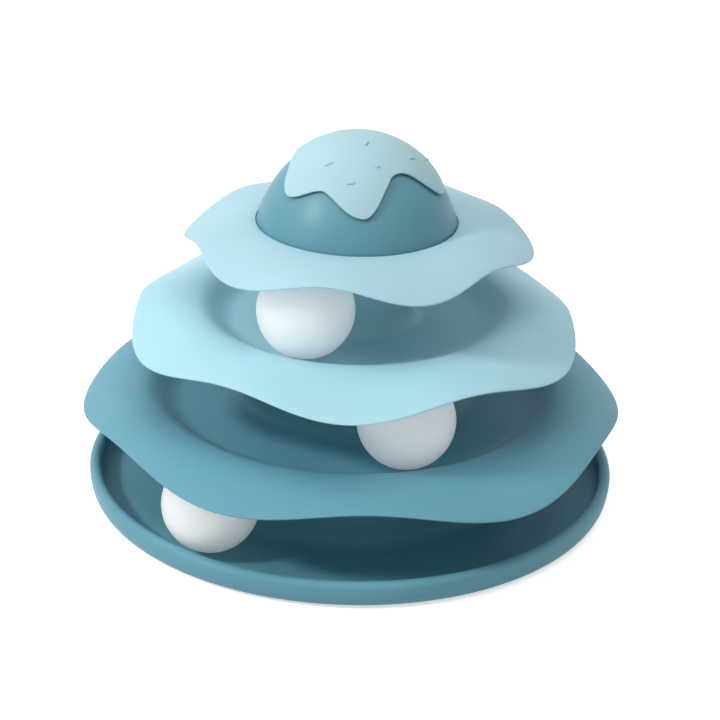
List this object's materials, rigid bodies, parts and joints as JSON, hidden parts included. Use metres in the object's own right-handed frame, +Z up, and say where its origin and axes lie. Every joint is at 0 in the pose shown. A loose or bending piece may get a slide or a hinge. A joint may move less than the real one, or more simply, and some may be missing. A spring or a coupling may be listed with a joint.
{
  "type": "cat play tower",
  "caption": "Tiered cat toy: round base and wavy-rimmed trays stacked on a central column, a ball rolling in each channel, domed cap with dripping icing on top.",
  "frame": {"origin": "on the table, under the middle of the tower", "axes": "+Z up along the tower's axis, -Y to the front and +X to the right as the picture shows it"},
  "size_m": [0.2546, 0.2534, 0.1741],
  "materials": {
    "teal_blue_plastic": "satin moulded polypropylene",
    "sky_blue_plastic": "satin moulded polypropylene",
    "light_blue_plastic": "satin moulded polypropylene",
    "white_plastic": "smooth satin",
    "grey_rubber": "matt"
  },
  "bodies": {
    "base": {"base_tray": "teal_blue_plastic", "foot_pad_1": "grey_rubber", "foot_pad_2": "grey_rubber", "foot_pad_3": "grey_rubber", "foot_pad_4": "grey_rubber", "foot_pad_5": "grey_rubber", "foot_pad_6": "grey_rubber"},
    "lower_tier": {"lower_tray": "teal_blue_plastic"},
    "middle_tier": {"middle_tray": "sky_blue_plastic"},
    "top_tier": {"top_tray": "light_blue_plastic"},
    "dome_cap": {"dome_shell": "teal_blue_plastic", "icing_cap": "light_blue_plastic"},
    "low_ball": {"low_ball_lower_half": "white_plastic", "low_ball_upper_half": "white_plastic"},
    "middle_ball": {"middle_ball_lower_half": "white_plastic", "middle_ball_upper_half": "white_plastic"},
    "high_ball": {"high_ball_lower_half": "white_plastic", "high_ball_upper_half": "white_plastic"}
  },
  "joints": [
    {"name": "lower_tier_lift", "type": "slide", "parent": "base", "child": "lower_tier", "axis": [0, 0, 1], "range_m": [0, 0.06]},
    {"name": "middle_tier_lift", "type": "slide", "parent": "lower_tier", "child": "middle_tier", "axis": [0, 0, 1], "range_m": [0, 0.06]},
    {"name": "top_tier_lift", "type": "slide", "parent": "middle_tier", "child": "top_tier", "axis": [0, 0, 1], "range_m": [0, 0.06]},
    {"name": "dome_lift", "type": "slide", "parent": "top_tier", "child": "dome_cap", "axis": [0, 0, 1], "range_m": [0, 0.06]},
    {"name": "low_ball_roll", "type": "hinge", "parent": "base", "child": "low_ball", "pos_m": [0, 0, 0.0258], "axis": [0, 0, 1], "continuous": true},
    {"name": "middle_ball_roll", "type": "hinge", "parent": "lower_tier", "child": "middle_ball", "pos_m": [0, 0, 0.06655], "axis": [0, 0, 1], "continuous": true},
    {"name": "high_ball_roll", "type": "hinge", "parent": "middle_tier", "child": "high_ball", "pos_m": [0, 0, 0.1073], "axis": [0, 0, 1], "continuous": true}
  ]
}
